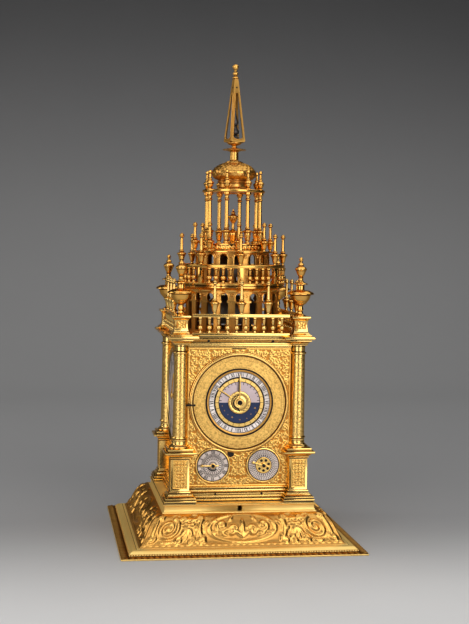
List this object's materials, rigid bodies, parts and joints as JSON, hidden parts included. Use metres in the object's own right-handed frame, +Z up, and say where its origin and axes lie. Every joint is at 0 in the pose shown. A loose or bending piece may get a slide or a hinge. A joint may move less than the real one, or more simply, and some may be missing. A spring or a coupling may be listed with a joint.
{
  "type": "astronomical table clock",
  "caption": "Gilt tower clock on a square moulded base, with a main dial over small dials, corner columns, arcaded bell drums, galleries, a domed colonnade and an open spire.",
  "frame": {"origin": "middle of the base's underside, on the table", "axes": "+Z up through the spire, -Y out of the main dial, +X to the right as seen from the front"},
  "size_m": [0.19, 0.19, 0.3836],
  "materials": {
    "gilt": "fire-gilt, bright and engraved",
    "silvered": "silvered, engraved",
    "enamel": "blue enamel on metal",
    "bell_metal": "cast and turned, greyed",
    "movement_brass": "filed",
    "steel": "filed, dark"
  },
  "bodies": {
    "case": {"base_skirt": "gilt", "plinth": "gilt", "pedestal_front_left": "gilt", "pedestal_front_right": "gilt", "pedestal_rear_left": "gilt", "pedestal_rear_right": "gilt", "column_front_left": "gilt", "column_front_right": "gilt", "column_rear_left": "gilt", "column_rear_right": "gilt", "front_panel": "gilt", "right_panel": "gilt", "rear_panel": "gilt", "left_panel": "gilt", "cornice": "gilt", "upper_pedestal_front_left": "gilt", "upper_pedestal_front_right": "gilt", "upper_pedestal_rear_left": "gilt", "upper_pedestal_rear_right": "gilt", "urn_front_left": "gilt", "urn_front_right": "gilt", "urn_rear_left": "gilt", "urn_rear_right": "gilt", "balustrade_front": "gilt", "balustrade_right": "gilt", "balustrade_rear": "gilt", "balustrade_left": "gilt", "lower_arcade": "gilt", "upper_arcade": "gilt", "gallery_floor": "gilt", "gallery_balustrade": "gilt", "podium": "gilt", "colonnade": "gilt", "dome": "gilt", "spire": "gilt", "dial_bezel": "gilt", "base_flange": "gilt", "chapter_ring": "silvered", "left_subdial": "silvered", "right_subdial": "silvered", "side_dial": "silvered", "day_night_disc": "enamel", "hour_bell": "bell_metal", "quarter_bell": "bell_metal", "movement_rear_plate": "movement_brass", "movement_front_plate": "movement_brass", "bell_bridge": "steel"},
    "fusee": {"fusee": "movement_brass"},
    "hour_arbor": {"hour_wheel": "movement_brass", "hour_hand": "gilt"},
    "moon_hand": {"moon_hand": "gilt"},
    "left_subdial_hand": {"left_subdial_hand": "gilt"},
    "right_subdial_hand": {"right_subdial_hand": "gilt"},
    "second_arbor": {"contrate_wheel": "movement_brass"},
    "crown_wheel": {"crown_wheel": "steel"},
    "balance": {"balance": "steel"},
    "mainspring_barrel": {"mainspring_barrel": "movement_brass"},
    "strike_arbor": {"strike_wheel": "movement_brass", "side_dial_hand": "gilt"},
    "bell_hammer": {"bell_hammer": "steel"}
  },
  "joints": [
    {"name": "fusee_turn", "type": "hinge", "parent": "case", "child": "fusee", "pos_m": [-0.0062, 0, 0.0715], "axis": [0, -1, 0], "continuous": true},
    {"name": "hour_turn", "type": "hinge", "parent": "case", "child": "hour_arbor", "pos_m": [0, -0.036, 0.1123], "axis": [0, -1, 0], "continuous": true},
    {"name": "moon_turn", "type": "hinge", "parent": "case", "child": "moon_hand", "pos_m": [0, -0.048, 0.1123], "axis": [0, -1, 0], "continuous": true},
    {"name": "left_subdial_turn", "type": "hinge", "parent": "case", "child": "left_subdial_hand", "pos_m": [-0.0203, -0.047, 0.0622], "axis": [0, -1, 0], "continuous": true},
    {"name": "right_subdial_turn", "type": "hinge", "parent": "case", "child": "right_subdial_hand", "pos_m": [0.0203, -0.047, 0.0622], "axis": [0, -1, 0], "continuous": true},
    {"name": "second_turn", "type": "hinge", "parent": "case", "child": "second_arbor", "pos_m": [0.01187, 0, 0.0973], "axis": [0, -1, 0], "continuous": true},
    {"name": "crown_turn", "type": "hinge", "parent": "case", "child": "crown_wheel", "pos_m": [-0.01113, 0.00914, 0.0973], "axis": [1, 0, 0], "continuous": true},
    {"name": "barrel_turn", "type": "hinge", "parent": "case", "child": "mainspring_barrel", "pos_m": [0.025, 0, 0.063], "axis": [0, -1, 0], "continuous": true},
    {"name": "strike_turn", "type": "hinge", "parent": "case", "child": "strike_arbor", "pos_m": [-0.04, 0, 0.1123], "axis": [-1, 0, 0], "continuous": true},
    {"name": "balance_swing", "type": "hinge", "parent": "case", "child": "balance", "pos_m": [-0.01673, 0.00914, 0.155], "axis": [0, 0, 1], "range_deg": [-45, 45]},
    {"name": "hammer_swing", "type": "hinge", "parent": "case", "child": "bell_hammer", "pos_m": [0.0155, 0, 0.1565], "axis": [0, 1, 0], "range_deg": [-18, 0]}
  ],
  "couplings": [
    {"joint": "hour_turn", "follows": "fusee_turn", "ratio": -0.33333},
    {"joint": "moon_turn", "follows": "fusee_turn", "ratio": -0.32203},
    {"joint": "right_subdial_turn", "follows": "fusee_turn", "ratio": -0.047619},
    {"joint": "second_turn", "follows": "fusee_turn", "ratio": -4},
    {"joint": "crown_turn", "follows": "fusee_turn", "ratio": -12},
    {"joint": "barrel_turn", "follows": "fusee_turn", "ratio": 0.7}
  ]
}
